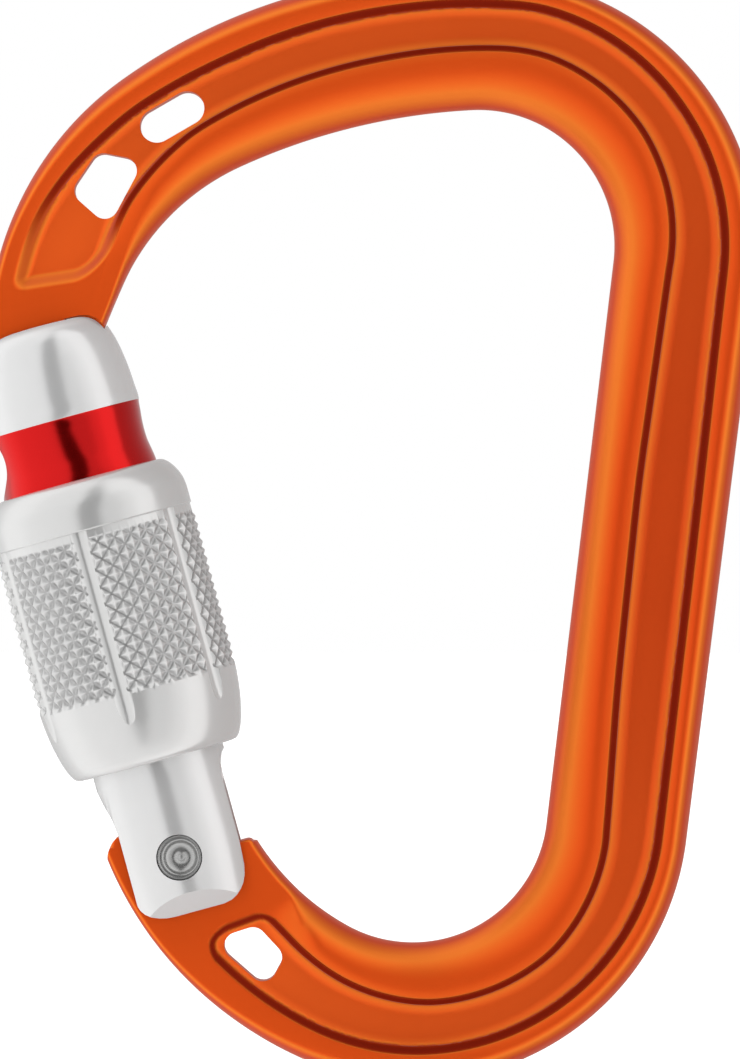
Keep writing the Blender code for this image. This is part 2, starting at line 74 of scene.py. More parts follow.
# Ring outlines, as in the CAD: a line up and down the spine, then (radius, sweep) arcs
INNER_START = (20.62, -0.67)
INNER_HEADING = 83.2
INNER_LINES = (26.96, 28.5)
INNER_UP_ARCS = ((13.3, 99.8), (62.5, 21.5), (23.2, 40.5), (80.0, 4.6))
INNER_DOWN_ARCS = ((13.2, 112.5), (24.7, 28.3))
OUTER_START = (34.56, -1.95)
OUTER_HEADING = 82.8
OUTER_LINES = (26.18, 28.97)
OUTER_UP_ARCS = ((26.7, 90.2), (55.25, 42.7), (31.35, 50.0), (31.35, 6.4))
OUTER_DOWN_ARCS = ((26.95, 106.6), (36.5, 45.8))

# Stations along the ring: 0 is the hinge end, 22 to 24 the spine, 57 the nose end
UP_STATIONS = (13, 9, 8, 3)  # how many each arc takes
DOWN_STATIONS = (14, 8)
FINE = 16  # mesh rows per station
LINE_ROWS = 70  # mesh rows on each line of the spine
HINGE_LINES_END = 12  # up to this station the hinge lines bound the pocket
NOSE_LINE_START = 44  # from this station the nose line bounds it

# Ring section, as (station, size) tables: rail widths, half thicknesses and reaches of the rounds
INNER_RAIL = ((0, 3.5), (5, 3.5), (8, 4.45), (12, 5.45), (17, 5.95), (22, 5.5), (22.5, 4.85), (23.2, 4.55),
              (24, 5.05), (30, 5.9), (35, 6.15), (40, 5.5), (46, 5.2), (50, 4.0), (52, 2.95), (57, 2.3))
OUTER_RAIL = ((0, 3.5), (5, 3.25), (10, 2.95), (22, 2.46), (23, 2.72), (24, 3.1), (30, 2.88), (36, 2.45),
              (40, 3.0), (44, 3.35), (48, 3.05), (51, 2.15), (57, 2.0))
INNER_HEIGHT = ((0, 3.1), (4.3, 3.1), (6.5, 4.8), (47, 4.8), (50, 4.4), (52.5, 3.6), (54.5, 3.3), (57, 3.3))
OUTER_HEIGHT = ((0, 3.1), (3.5, 3.1), (11, 4.8), (46, 4.8), (49, 4.4), (52.5, 3.6), (54.5, 3.3), (57, 3.3))
INNER_ROUND = ((0, 0.9), (4.3, 0.95), (6.3, 3.3), (9, 5.0), (46, 5.0), (50, 2.6), (53, 1.1), (55, 0.65),
               (57, 0.6))
OUTER_ROUND = ((0, 0.5), (3, 0.6), (11, 1.9), (46, 1.9), (52, 0.9), (57, 0.5))
SHOULDER = (1.1, 0.85)  # least way from the crest of each rail to its wall: inner, outer
CREST_FALL = (0.22, 0.20)  # how far a rail of full height falls on that way
HINGE_HEIGHT = 3.1  # half thickness at the hinge end, where the rails don't fall
HEIGHT_GAIN = 1.7  # from there to the full height
TOP_BLEND = (0.3, 0.4)  # where the inner height changes to the outer one: start and length across
WALL_WIDTH = ((0, 0.75), (48, 0.75), (53, 1.1), (57, 1.1))
STEEPNESS = ((0, 1), (50.3, 1), (52.3, 0), (57, 0))  # 1 for a steep wall with a painted dark line of shade, 0 for a soft slope without
SOFT_WALL = (-0.1, 1.7)  # start and length of the soft slope, from the pocket's rim
GROOVE_LINE = (0.36, 0.40)  # middle and half width of the painted dark line of shade, from the top of the wall
WEB_HALF = 1.9
WALL_TOP_ROUND = 0.16
WALL_FOOT = 0.16  # share of the wall's height that its fillet at the floor takes
FLOOR_FILLET = 1.2
FILLET_POWER = 2.2
POCKET_CORNER = 1.4
NOSE_CORNER = 3.0

# Half thickness at a round edge
RIM_HALF = 0.12  # what is left at the outline
SMALL_REACH = 0.3  # a round of this reach is a quarter circle
REACH_GAIN = 1.1  # over this much more reach, FULL_SHARE of the height is added to its rise
FULL_SHARE = 0.93
LEAST_RUN = 0.1

# Mesh columns across the ring
EDGE_COLUMNS = 30
EDGE_CROWDING = 1.15  # above 1, the columns are closer at the outline
EDGE_STOP = 0.3  # they end this far before the wall
CREST_COLUMNS = 8
CREST_BAND = 0.22  # half width of the close columns at the top of the wall
WALL_COLUMNS = 9
WEB_COLUMNS = 24

# Openings and pocket ends
HINGE_END_LINE = ((-12.66, -38.12), 200.2)
HINGE_SIDE_LINE = ((-15.83, -40.23), 250.7)
NOSE_END_LINE = ((-33.3, 23.23), 8.8)
SLOT = ((-19.4, 40.2), 6.75, 3.3, 30.0)  # middle, length, width, heading
SLOT_END_STEPS = 24
NOSE_WINDOW = ((-26.7, 36.8), (-22.15, 35.9), (-25.6, 29.45), (-29.4, 32.8))
HINGE_WINDOW = ((-15.65, -40.3), (-11.1, -38.85), (-8.35, -41.8), (-10.15, -45.1))
WINDOW_CORNER = 1.35

# Hinge tang and its cam
TANG_HALF = 3.08
TANG_RIM = 0.45
TANG_CORNER = 0.6
TANG_OUTER_SIDE = ((-6.6, 0.0), (-6.8, 1.4), (-6.1, 3.4), (-4.0, 4.2))
TANG_INNER_SIDE = ((5.3, 3.4), (5.4, -0.15), (7.3, -0.15), (7.3, -6.4), (-1.5, -6.9))
CAM_RADIUS = 5.0
CAM_LIFT = 1.0
CAM_OVERRUN = 1.5  # the cam goes on to this many opening angles
CAM_STEPS = 24
HINGE_TIP = (  # the corner that is taken off the hinge end
    (-12, 1.0), (-7.02, 1.0), (-6.96, 1.5), (-6.8, 1.97), (-6.6, 2.33), (-6.34, 2.67), (-6.05, 3.0),
    (-5.7, 3.25), (-5.2, 3.45), (-5.2, 9), (-12, 9),
)

# Nose block and lock
NOSE_HALF = 3.27
NOSE_RIM = 0.5
NOSE_ANGLES = (-6.4, 2.9)  # of the block's underside, an arc about the rivet
NOSE_CORNERS = ((6.25, 52.2), (7.6, 54.2), (6.0, 57.0), (-2.0, 57.0), (-4.9, 52.8))
NOSE_LIP = (  # the part of the block that is thinned to fit inside the gate's shoulder
    (3.0, 47.0), (3.0, 53.6), (4.5, 53.56), (5.35, 53.32), (6.0, 52.87), (6.35, 52.37), (6.6, 51.87),
    (9, 51.2), (9, 47.0),
)
LIP_HALF = 2.2
LIP_CUT_HALF = 2.0
NECK_TOP = 47.6
NECK_HALF = 2.2
NECK_OVERLAP = 0.7  # how far the neck reaches into the block
HEAD_CENTRE = 42.3
HEAD_ROUND = 3.2
HEAD_STEPS = 40
LOCK_ANGLES = (-8.4, 3.3)
OPEN_SIDE_ANGLE = -17.0
LOCK_GAP = 0.3

# Cutters
CUT_HALF = 6.0  # reaches past the ring's faces
CUT_RIM = 0.1
BESIDE_BAR = 9.0  # a place outside the gate's bar
RIM_STEPS = 6


# ---- Outlines ----


def toward(heading):
    angle = math.radians(heading)
    return np.array((math.cos(angle), math.sin(angle)))


def follow(start, heading, line, arcs, turn, counts):
    """Finely spaced points of a line and then smooth arcs, each with its station number."""
    points = [np.array(start) + toward(heading) * line * row / LINE_ROWS for row in range(LINE_ROWS + 1)]
    stations = [row / LINE_ROWS for row in range(LINE_ROWS + 1)]
    station = 1
    for (radius, sweep), count in zip(arcs, counts):
        centre = points[-1] + toward(heading + 90 * turn) * radius
        for row in range(1, count * FINE + 1):
            angle = heading + turn * sweep * row / (count * FINE)
            points.append(centre - toward(angle + 90 * turn) * radius)
            stations.append(station + row / FINE)
        heading += turn * sweep
        station += count
    return points, stations


def ring_outline(start, heading, lines, up_arcs, down_arcs):
    """One outline of the ring from the hinge round to the nose, with its station numbers."""
    up, up_at = follow(start, heading, lines[0], up_arcs, 1, UP_STATIONS)
    down, down_at = follow(start, heading + 180, lines[1], down_arcs, -1, DOWN_STATIONS)
    spine = 1 + sum(DOWN_STATIONS)
    stations = [spine - at for at in down_at[:0:-1]] + [spine + at for at in up_at]
    return np.array(down[:0:-1] + up), np.array(stations)


def by_station(table, stations):
    """A table of (station, value) read at each station and smoothed along the ring."""
    at, values = zip(*table)
    rough = np.interp(stations, at, values)
    weights = np.hanning(2 * FINE + 1)
    padded = np.pad(rough, FINE, mode="edge")
    return np.convolve(padded, weights / weights.sum(), mode="valid")


def left_of(points, line):
    """How far each point lies to the left of a line, a point and a heading."""
    point, heading = line
    return (points - np.array(point)) @ toward(heading + 90)


def round_min(one, other, radius):
    """The smaller of two distances, with the corner between them rounded."""
    corner = radius - np.hypot(np.maximum(radius - one, 0), np.maximum(radius - other, 0))
    return np.where((one < radius) & (other < radius), corner, np.minimum(one, other))


def smooth_step(value, start, length):
    """0 up to start, 1 from start + length on, and a smooth rise between them."""
    share = np.clip((value - start) / length, 0, 1)
    return share * share * (3 - 2 * share)


def rounded(corners, radius, steps=10, least_turn=22.0):
    """The outline with an arc in place of each corner that turns by more than least_turn."""
    corners = [Vector(corner) for corner in corners]
    outline = []
    for index, corner in enumerate(corners):
        back = (corners[index - 1] - corner).normalized()
        ahead = (corners[(index + 1) % len(corners)] - corner).normalized()
        half = back.angle(ahead) / 2
        if math.degrees(math.pi - 2 * half) < least_turn:
            outline.append(corner)
            continue
        middle = corner + (back + ahead).normalized() * (radius / math.sin(half))
        first = corner + back * (radius / math.tan(half)) - middle
        last = corner + ahead * (radius / math.tan(half)) - middle
        for step in range(steps + 1):
            outline.append(middle + first.slerp(last, step / steps).normalized() * radius)
    return np.array([tuple(point) for point in outline])


def slot_outline():
    """A slot with half-round ends."""
    middle, length, width, heading = SLOT
    outline = []
    for side, turn in ((1, -90), (-1, 90)):
        centre = np.array(middle) + toward(heading) * (length - width) / 2 * side
        for step in range(SLOT_END_STEPS + 1):
            outline.append(centre + toward(heading + turn + 180 * step / SLOT_END_STEPS) * width / 2)
    return np.array(outline)


def arc(radius, start, end, steps):
    """Points of an arc about the rivet, in gate places. Angles run clockwise from the gate's axis."""
    angles = np.radians(np.linspace(start, end, steps + 1))
    return [(radius * math.sin(angle), radius * math.cos(angle)) for angle in angles]


def gate_to_plane(places):
    """Places on the gate as points in the ring's plane."""
    across, along = zip(*places)
    return RIVET + np.outer(across, toward(GATE_TILT)) + np.outer(along, toward(GATE_TILT + 90))


def gate_matrix(offset=0.0):
    """From a place on the gate, with Z along it and the origin at the rivet, to the row frame."""
    lean = Matrix.Rotation(-math.radians(GATE_TILT), 4, "Y")
    start = Matrix.Translation(Vector((RIVET[0], 0, RIVET[1])) * MM)
    return start @ lean @ Matrix.Translation((offset * MM, 0, 0))


def rivet_matrix():
    """From a place on the rivet, with Z along it, to the row frame."""
    return gate_matrix() @ Matrix.Rotation(math.pi / 2, 4, "X")


# ---- Solids ----


def mesh_object(name, points, faces, matrix=None):
    """An object from points in millimetres. The matrix moves them into the row frame."""
    mesh = bpy.data.meshes.new(name)
    mesh.from_pydata((np.asarray(points) * MM).tolist(), [], faces)
    if matrix is not None:
        mesh.transform(matrix)
    shape = bmesh.new()
    shape.from_mesh(mesh)
    bmesh.ops.recalc_face_normals(shape, faces=shape.faces)
    shape.to_mesh(mesh)
    shape.free()
    obj = bpy.data.objects.new(name, mesh)
    bpy.context.scene.collection.objects.link(obj)
    return obj


def grid_faces(rows, columns, offset=0, wrap=False):
    """Quads of a grid of points laid out row by row. wrap joins the last column to the first."""
    faces = []
    for row in range(rows - 1):
        for column in range(columns if wrap else columns - 1):
            here = offset + row * columns + column
            beside = offset + row * columns + (column + 1) % columns
            faces.append((here, beside, beside + columns, here + columns))
    return faces


def tube_faces(rows, columns):
    """Faces of a tube of points laid out ring by ring, with both ends closed."""
    last = (rows - 1) * columns
    return grid_faces(rows, columns, wrap=True) + [tuple(range(columns)), tuple(range(last, last + columns))]


def prism(name, outline, half, rim, middle=0.0):
    """A plate in the ring's plane with rounded rims. middle is the depth of its mid-plane."""
    ahead = np.roll(outline, -1, axis=0) - outline
    ahead /= np.linalg.norm(ahead, axis=1)[:, None]
    sides = np.stack((ahead[:, 1], -ahead[:, 0]), axis=1)
    area = np.sum(outline[:, 0] * np.roll(outline[:, 1], -1) - np.roll(outline[:, 0], -1) * outline[:, 1])
    outward = (sides + np.roll(sides, 1, axis=0)) * np.sign(area)
    outward /= np.linalg.norm(outward, axis=1)[:, None]
    layers = []
    for turn in np.radians(np.linspace(0, 90, RIM_STEPS + 1))[::-1]:
        layers.append((rim * (1 - math.cos(turn)), -(half - rim + rim * math.sin(turn))))
    layers += [(inset, -depth) for inset, depth in layers[::-1]]
    points = []
    for inset, depth in layers:
        points += [(x, depth + middle, z) for x, z in outline - outward * inset]
    return mesh_object(name, points, tube_faces(len(layers), len(outline)))


def boolean(obj, other, operation="DIFFERENCE"):
    """Cuts or joins at once, so that only the finished mesh is kept."""
    modifier = obj.modifiers.new("Cut", "BOOLEAN")
    modifier.operation = operation
    modifier.solver = "MANIFOLD"
    modifier.object = other
    bpy.context.view_layer.update()
    done = bpy.data.meshes.new_from_object(obj.evaluated_get(bpy.context.evaluated_depsgraph_get()))
    obj.modifiers.clear()
    obj.data = done
    bpy.data.objects.remove(other)


def smooth_profile(points, steps, sharp_turn):
    """The profile with a smooth curve through its points, except where it turns by sharp_turn."""
    points = [Vector(point) for point in points]
    sides = [(b - a).normalized() for a, b in zip(points, points[1:])]
    tangents = []
    for index in range(len(points)):
        before = sides[max(index - 1, 0)]
        after = sides[min(index, len(sides) - 1)]
        sharp = math.degrees(before.angle(after)) > sharp_turn
        middle = (before + after).normalized()
        tangents.append((before, after) if sharp else (middle, middle))
    smooth = [points[0]]
    for index, (start, end) in enumerate(zip(points, points[1:])):
        length = (end - start).length
        leave = tangents[index][1] * length
        arrive = tangents[index + 1][0] * length
        for step in range(1, steps + 1):
            t = step / steps
            place = start * (2 * t**3 - 3 * t**2 + 1) + leave * (t**3 - 2 * t**2 + t)
            smooth.append(place + end * (3 * t**2 - 2 * t**3) + arrive * (t**3 - t**2))
    return [(max(point.x, 0.0), point.y) for point in smooth]


def mirrored(profile):
    """A profile that ends at its middle, followed by its mirror image."""
    return profile + tuple((radius, -along) for radius, along in profile[::-1])


def turned(name, profile, matrix, segments, relief=None):
    """A closed solid of revolution about local Z. relief(angles, radius, along) may change the radius."""
    angles = np.linspace(0, math.tau, segments, endpoint=False)
    points = []
    for radius, along in profile:
        radii = np.full(segments, radius) if relief is None else relief(angles, radius, along)
        points += list(zip(radii * np.cos(angles), radii * np.sin(angles), np.full(segments, along)))
    return mesh_object(name, points, tube_faces(len(profile), segments), matrix)


def finish_piece(obj, body, node, material, sharp_angle=32.0):
    """Gives a piece its look and puts it in the place of its CAD node."""
    obj.data.materials.clear()
    obj.data.materials.append(material)
    obj.data.shade_smooth()
    obj.data.set_sharp_from_angle(angle=math.radians(sharp_angle))
    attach(obj, body)
    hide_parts(node)


# ---- Nodes ----


class Nodes:
    """A node tree that is built up step by step."""

    def __init__(self, tree):
        self.tree = tree

    def node(self, kind, **settings):
        node = self.tree.nodes.new(kind)
        for name, value in settings.items():
            setattr(node, name, value)
        return node

    def link(self, source, target):
        self.tree.links.new(source, target)

    def maths(self, operation, *values):
        """A calculation with numbers or other nodes' outputs."""
        node = self.node("ShaderNodeMath", operation=operation)
        for value, target in zip(values, node.inputs):
            if isinstance(value, (int, float)):
                target.default_value = value
            else:
                self.link(value, target)
        return node.outputs[0]

    def spread(self, value, low, high, start=0.0, end=1.0, interpolation="LINEAR"):
        """A number that goes from low to high while the value goes from start to end."""
        spread = self.node("ShaderNodeMapRange", interpolation_type=interpolation)
        for name, number in (("From Min", start), ("From Max", end), ("To Min", low), ("To Max", high)):
            spread.inputs[name].default_value = number
        self.link(value, spread.inputs["Value"])
        return spread.outputs["Result"]

    def blend(self, share, low, high):
        """A colour that goes from low to high. Each is a colour or another node's output."""
        mix = self.node("ShaderNodeMix", data_type="RGBA")
        self.link(share, mix.inputs[0])
        for colour, target in ((low, mix.inputs[6]), (high, mix.inputs[7])):
            if isinstance(colour, tuple):
                target.default_value = (*colour, 1.0)
            else:
                self.link(colour, target)
        return mix.outputs[2]

    def split(self, vector):
        """The X, Y and Z of a vector."""
        split = self.node("ShaderNodeSeparateXYZ")
        self.link(vector, split.inputs[0])
        return split.outputs


class Look(Nodes):
    """A material with a Principled shader. Its place is in metres, in the row frame or along the gate."""

    def __init__(self, name, along_gate=False):
        self.material = bpy.data.materials.new(name)
        self.material.use_nodes = True
        super().__init__(self.material.node_tree)
        self.shader = self.tree.nodes["Principled BSDF"]
        self.place = self.node("ShaderNodeTexCoord").outputs["Object"]
        if along_gate:
            self.place = self.moved(gate_matrix(GATE_OFFSET).inverted())

    def moved(self, matrix):
        mapping = self.node("ShaderNodeMapping")
        mapping.inputs["Location"].default_value = matrix.to_translation()
        mapping.inputs["Rotation"].default_value = matrix.to_euler()
        self.link(self.place, mapping.inputs["Vector"])
        return mapping.outputs["Vector"]

    def attribute(self, name):
        return self.node("ShaderNodeAttribute", attribute_name=name).outputs["Fac"]

    def noise(self, scale, detail, stretch=None):
        """Noise at a scale per metre. A small stretch draws it out along that axis."""
        noise = self.node("ShaderNodeTexNoise")
        noise.inputs["Scale"].default_value = scale
        noise.inputs["Detail"].default_value = detail
        place = self.place
        if stretch is not None:
            multiply = self.node("ShaderNodeVectorMath", operation="MULTIPLY")
            self.link(place, multiply.inputs[0])
            multiply.inputs[1].default_value = stretch
            place = multiply.outputs[0]
        self.link(place, noise.inputs["Vector"])
        return noise.outputs["Fac"]

    def facing(self):
        """0 where the surface faces the eye and 1 where it turns away."""
        weight = self.node("ShaderNodeLayerWeight")
        weight.inputs["Blend"].default_value = 0.5
        return weight.outputs["Facing"]

    def bump(self, height, distance, strength):
        bump = self.node("ShaderNodeBump")
        bump.inputs["Distance"].default_value = distance * MM
        bump.inputs["Strength"].default_value = strength
        self.link(height, bump.inputs["Height"])
        self.link(bump.outputs["Normal"], self.shader.inputs["Normal"])

    def set(self, **values):
        for name, value in values.items():
            target = self.shader.inputs[name.replace("_", " ")]
            if isinstance(value, (int, float)):
                target.default_value = value
            elif isinstance(value, tuple):
                target.default_value = (*value, 1.0)
            else:
                self.link(value, target)


# ---- Materials ----

# Orange where the surface faces the eye: at the spine, and far from it. Painted shade makes it darker
# towards the spine
# The web's colour is painted lighter than the cheeks' and rails', as painted light against the shade in its
# channel
WEB_ORANGE = ((0.82, 0.086, 0.012), (1.0, 0.135, 0.018))
CHEEK_ORANGE = ((0.74, 0.070, 0.008), (0.82, 0.092, 0.010))
SPINE_PLACE = (0.034, 0.0, 0.0)  # metres, like the next two
SPINE_FADE = (0.010, 0.055)
WEB_TO_CHEEK = (0.0020, 0.0027)  # half thickness
# painted sheen: a yellower orange where the surface tilts from the eye, at its edges and on the groove's
# walls
PAINTED_SHEEN_ORANGE = ((0.78, 0.168, 0.018), (0.82, 0.186, 0.022))
TILT_FADE = (0.01, 0.20)
# painted shade at the rims, where the surface turns away from the eye
PAINTED_RIM_SHADE = (0.60, 0.060, 0.008)
EDGE_FADE = (0.30, 0.60)
# painted shade: the dark line down the steep groove walls
PAINTED_GROOVE_SHADE = (0.23, 0.016, 0.005)
ORANGE_REFLECTION = (1.0, 0.45, 0.25)

# Turned metals: tint, metallic, roughness, scale and depth of the tool lines, lacquer, painted shade in
# grooves
METALS = {
    "bright_anodised": ((0.69, 0.69, 0.69), 0.46, 0.20, 2500, 0.002, 0.0, 1.0),
    "red_anodised": ((0.62, 0.005, 0.005), 0.92, 0.17, 2500, 0.001, 0.15, 1.0),
    "satin_anodised": ((0.65, 0.65, 0.645), 0.50, 0.20, 1800, 0.002, 0.0, 0.55),
    "stainless_steel": ((0.43, 0.43, 0.425), 0.85, 0.27, 3000, 0.0005, 0.0, 1.0),
    "spring_steel": ((0.50, 0.50, 0.52), 0.9, 0.30, 1500, 0.004, 0.0, 1.0),
}
ROUND_THE_AXIS = (0.02, 0.02, 1.0)  # draws noise out into lines round the gate's axis
HAZE_SHADE = 0.95
TWO_NOISES = (0.6, 1.4)  # the usual range of two noises added together


def orange_anodised():
    """Dyed anodising over a blasted forging: fine grain and soft tint changes from noise, with painted shade
    towards the spine, at the rims and on the groove walls, a web painted lighter against the shade in its
    channel and a painted sheen where the surface tilts.
    """
    look = Look("orange_anodised")
    clouds = look.noise(60, 2)
    grain = look.noise(9000, 2)
    # painted shade towards the spine, and painted light on the sunken web against the shade in its channel
    spine = look.node("ShaderNodeVectorMath", operation="DISTANCE")
    look.link(look.place, spine.inputs[0])
    spine.inputs[1].default_value = SPINE_PLACE
    from_spine = look.spread(spine.outputs["Value"], 0.0, 1.0, *SPINE_FADE)
    half_thickness = look.maths("ABSOLUTE", look.split(look.place)["Y"])
    raised = look.spread(half_thickness, 0.0, 1.0, *WEB_TO_CHEEK)
    face_on = look.blend(raised, look.blend(from_spine, *WEB_ORANGE), look.blend(from_spine, *CHEEK_ORANGE))
    # painted sheen where the surface tilts from the eye, in two tones mixed by noise
    tilted = look.blend(clouds, *PAINTED_SHEEN_ORANGE)
    facing = look.facing()
    colour = look.blend(look.spread(facing, 0.0, 1.0, *TILT_FADE), face_on, tilted)
    # painted shade at the rims
    colour = look.blend(look.spread(facing, 0.0, 1.0, *EDGE_FADE), colour, PAINTED_RIM_SHADE)
    # painted shade on the groove walls: brown, not metallic and less shiny, so that they stay dark
    groove = look.attribute("groove")
    colour = look.blend(groove, colour, PAINTED_GROOVE_SHADE)
    look.set(Base_Color=colour, Specular_Tint=ORANGE_REFLECTION)
    look.set(Metallic=look.spread(groove, 0.38, 0.0))
    look.set(Specular_IOR_Level=look.spread(groove, 0.2, 0.0, 0.0, 0.6))
    look.set(Roughness=look.spread(look.maths("ADD", clouds, grain), 0.30, 0.38, *TWO_NOISES))
    look.bump(grain, 0.004, 0.5)
    return look.material


def turned_metal(name):
    """Fine tool lines round the gate's axis, a light haze and painted shade in the grooves."""
    tint, metallic, roughness, line_scale, line_depth, lacquer, groove_shade = METALS[name]
    look = Look(name, along_gate=True)
    haze = look.noise(140, 3)
    tooling = look.noise(line_scale, 2, ROUND_THE_AXIS)
    grain = look.noise(8000, 2)
    colour = look.blend(haze, tuple(HAZE_SHADE * value for value in tint), tint)
    # painted shade in the knurl's grooves, made patchy by noise
    if groove_shade < 1.0:
        patchy = look.spread(look.noise(2200, 2), 0.6, 1.15, 0.3, 0.7)
        groove = look.maths("MULTIPLY", look.attribute("groove"), patchy)
        colour = look.blend(groove, colour, tuple(groove_shade * value for value in tint))
    uneven = look.maths("ADD", haze, tooling)
    look.set(Base_Color=colour, Metallic=metallic, Coat_Weight=lacquer, Coat_Roughness=0.15)
    look.set(Roughness=look.spread(uneven, roughness - 0.03, roughness + 0.04, *TWO_NOISES))
    look.bump(look.maths("ADD", tooling, grain), line_depth, 0.5)
    return look.material


def nylon():
    """Milky plastic."""
    look = Look("nylon")
    mottle = look.noise(900, 3)
    look.set(Base_Color=look.blend(mottle, (0.78, 0.77, 0.72), (0.88, 0.87, 0.83)), Roughness=0.45)
    look.set(Subsurface_Weight=0.15, Subsurface_Scale=0.001)
    look.bump(mottle, 0.01, 0.4)
    return look.material


def pale_floor():
    """A matt floor that glows a little, so that its shadows stay pale."""
    look = Look("pale_floor")
    mottle = look.noise(40, 2)
    look.set(Base_Color=look.blend(mottle, (0.90, 0.90, 0.90), (0.93, 0.93, 0.93)), Roughness=0.9)
    look.set(Emission_Color=(1.0, 1.0, 1.0), Emission_Strength=0.35)
    return look.material


# ---- Ring ----


def side_samples(rail, wall):
    """Distances from one outline: over its rail, over the top of the groove wall and down the wall."""
    rail = rail[:, None]
    turns = np.linspace(0, math.pi / 2, EDGE_COLUMNS)
    edge = (rail - EDGE_STOP) * (1 - np.cos(turns)) ** EDGE_CROWDING
    top = rail + np.linspace(-CREST_BAND, CREST_BAND, CREST_COLUMNS)
    slope = rail + CREST_BAND + (wall[:, None] - CREST_BAND) * np.linspace(0.1, 1, WALL_COLUMNS)
    return np.concatenate((edge, top, slope), axis=1)


def across_samples(width, inner_rail, outer_rail, wall):
    """Places across the ring at every station, closer together where the section bends."""
    inner = side_samples(inner_rail, wall)
    outer = width[:, None] - side_samples(outer_rail, wall)[:, ::-1]
    shares = np.linspace(0, 1, WEB_COLUMNS + 2)[1:-1]
    middle = inner[:, -1:] + (outer[:, :1] - inner[:, -1:]) * shares
    return np.concatenate((inner, middle, outer), axis=1)


def edge_height(distance, height, reach, rail, fall):
    """Half thickness near one edge: an elliptical round up to a crest, then a slight fall."""
    full = FULL_SHARE * height * np.clip((reach - SMALL_REACH) / REACH_GAIN, 0, 1) + reach
    rise = np.minimum(height - RIM_HALF, full)
    turn = np.clip(1 - distance / reach, 0, 1)
    past = np.clip((distance - reach) / np.maximum(rail - reach, LEAST_RUN), 0, 1)
    return height - rise * (1 - np.sqrt(1 - turn**2)) - fall * past**2


def wall_share(depth, wall):
    """1 on the rails, 0 on the web: a sharp upper edge, a steep wall and a wide fillet at the floor."""
    top = WALL_TOP_ROUND
    steep = (1 - WALL_FOOT) / wall
    straight = 1 - steep * (depth - top / 2)
    start = 1 - steep * np.clip(depth + top / 2, 0, None) ** 2 / (2 * top)
    share = np.where(depth < top / 2, start, straight)
    past = np.clip((depth - wall) / FLOOR_FILLET, 0, 1)
    floor = WALL_FOOT * (1 - past) ** FILLET_POWER
    upper = np.where(depth > wall, floor, np.maximum(share, WALL_FOOT))
    return np.where(depth < -top / 2, 1.0, upper)


def pocket_depth(flat, inner_side, outer_side, along):
    """How far each point lies inside the pocket's rim, or outside it where negative."""
    hinge = round_min(left_of(flat, HINGE_END_LINE), left_of(flat, HINGE_SIDE_LINE), POCKET_CORNER)
    hinge = round_min(hinge, inner_side, POCKET_CORNER)
    hinge = round_min(hinge, outer_side, POCKET_CORNER)
    nose = round_min(left_of(flat, NOSE_END_LINE), inner_side, NOSE_CORNER)
    nose = round_min(nose, outer_side, POCKET_CORNER)
    sides = np.minimum(inner_side, outer_side)
    return np.where(along < HINGE_LINES_END, hinge, np.where(along > NOSE_LINE_START, nose, sides))


def shell_faces(rows, columns):
    """Faces of a front grid, the back grid that follows it, and the rims between them."""
    count = rows * columns
    faces = grid_faces(rows, columns) + grid_faces(rows, columns, offset=count)
    rims = [(row * columns + column, columns) for row in range(rows - 1) for column in (0, columns - 1)]
    rims += [(row * columns + column, 1) for row in (0, rows - 1) for column in range(columns - 1)]
    for here, step in rims:
        faces.append((here, here + step, here + step + count, here + count))
    return faces


def ring_blank():
    """The ring as a front and a back height field over ribs that run from outline to outline."""
    inner, stations = ring_outline(INNER_START, INNER_HEADING, INNER_LINES, INNER_UP_ARCS, INNER_DOWN_ARCS)
    outer, _ = ring_outline(OUTER_START, OUTER_HEADING, OUTER_LINES, OUTER_UP_ARCS, OUTER_DOWN_ARCS)
    rib = outer - inner
    width = np.linalg.norm(rib, axis=1)
    rib /= width[:, None]
    inner_rail = by_station(INNER_RAIL, stations)
    outer_rail = by_station(OUTER_RAIL, stations)
    wall = by_station(WALL_WIDTH, stations)
    across = across_samples(width, inner_rail, outer_rail, wall)
    rows, columns = across.shape
    plane = inner[:, None, :] + rib[:, None, :] * across[:, :, None]

    def rail_height(distance, heights, rounds, rail, side):
        """Half thickness seen from one outline, with side 0 for the inner and 1 for the outer."""
        top = by_station(heights, stations)[:, None]
        reach = np.minimum(by_station(rounds, stations)[:, None], rail[:, None] - SHOULDER[side])
        fall = CREST_FALL[side] * (top - HINGE_HEIGHT) / HEIGHT_GAIN
        return edge_height(distance, top, reach, rail[:, None], fall)

    far = width[:, None] - across
    inner_part = rail_height(across, INNER_HEIGHT, INNER_ROUND, inner_rail, 0)
    outer_part = rail_height(far, OUTER_HEIGHT, OUTER_ROUND, outer_rail, 1)
    share = smooth_step(across / width[:, None], *TOP_BLEND)
    top = inner_part * (1 - share) + outer_part * share

    inner_side = (across - inner_rail[:, None]).ravel()
    outer_side = (far - outer_rail[:, None]).ravel()
    depth = pocket_depth(plane.reshape(-1, 2), inner_side, outer_side, np.repeat(stations, columns))
    steep = np.repeat(by_station(STEEPNESS, stations), columns)
    soft = 1 - smooth_step(depth, *SOFT_WALL)
    share = wall_share(depth, np.repeat(wall, columns)) * steep + soft * (1 - steep)
    half = WEB_HALF + (top - WEB_HALF) * share.reshape(rows, columns)

    front = np.stack((plane[:, :, 0], -half, plane[:, :, 1]), axis=2).reshape(-1, 3)
    back = front * (1, -1, 1)
    ring = mesh_object("anodised_ring", np.concatenate((front, back)), shell_faces(rows, columns))
    # painted shade: a dark line down the steep groove walls, kept on the points
    groove = np.exp(-(((depth - GROOVE_LINE[0]) / GROOVE_LINE[1]) ** 4)) * steep
    darkness = ring.data.attributes.new("groove", "FLOAT", "POINT")
    darkness.data.foreach_set("value", np.concatenate((groove, groove)).astype(np.float32))
    return ring


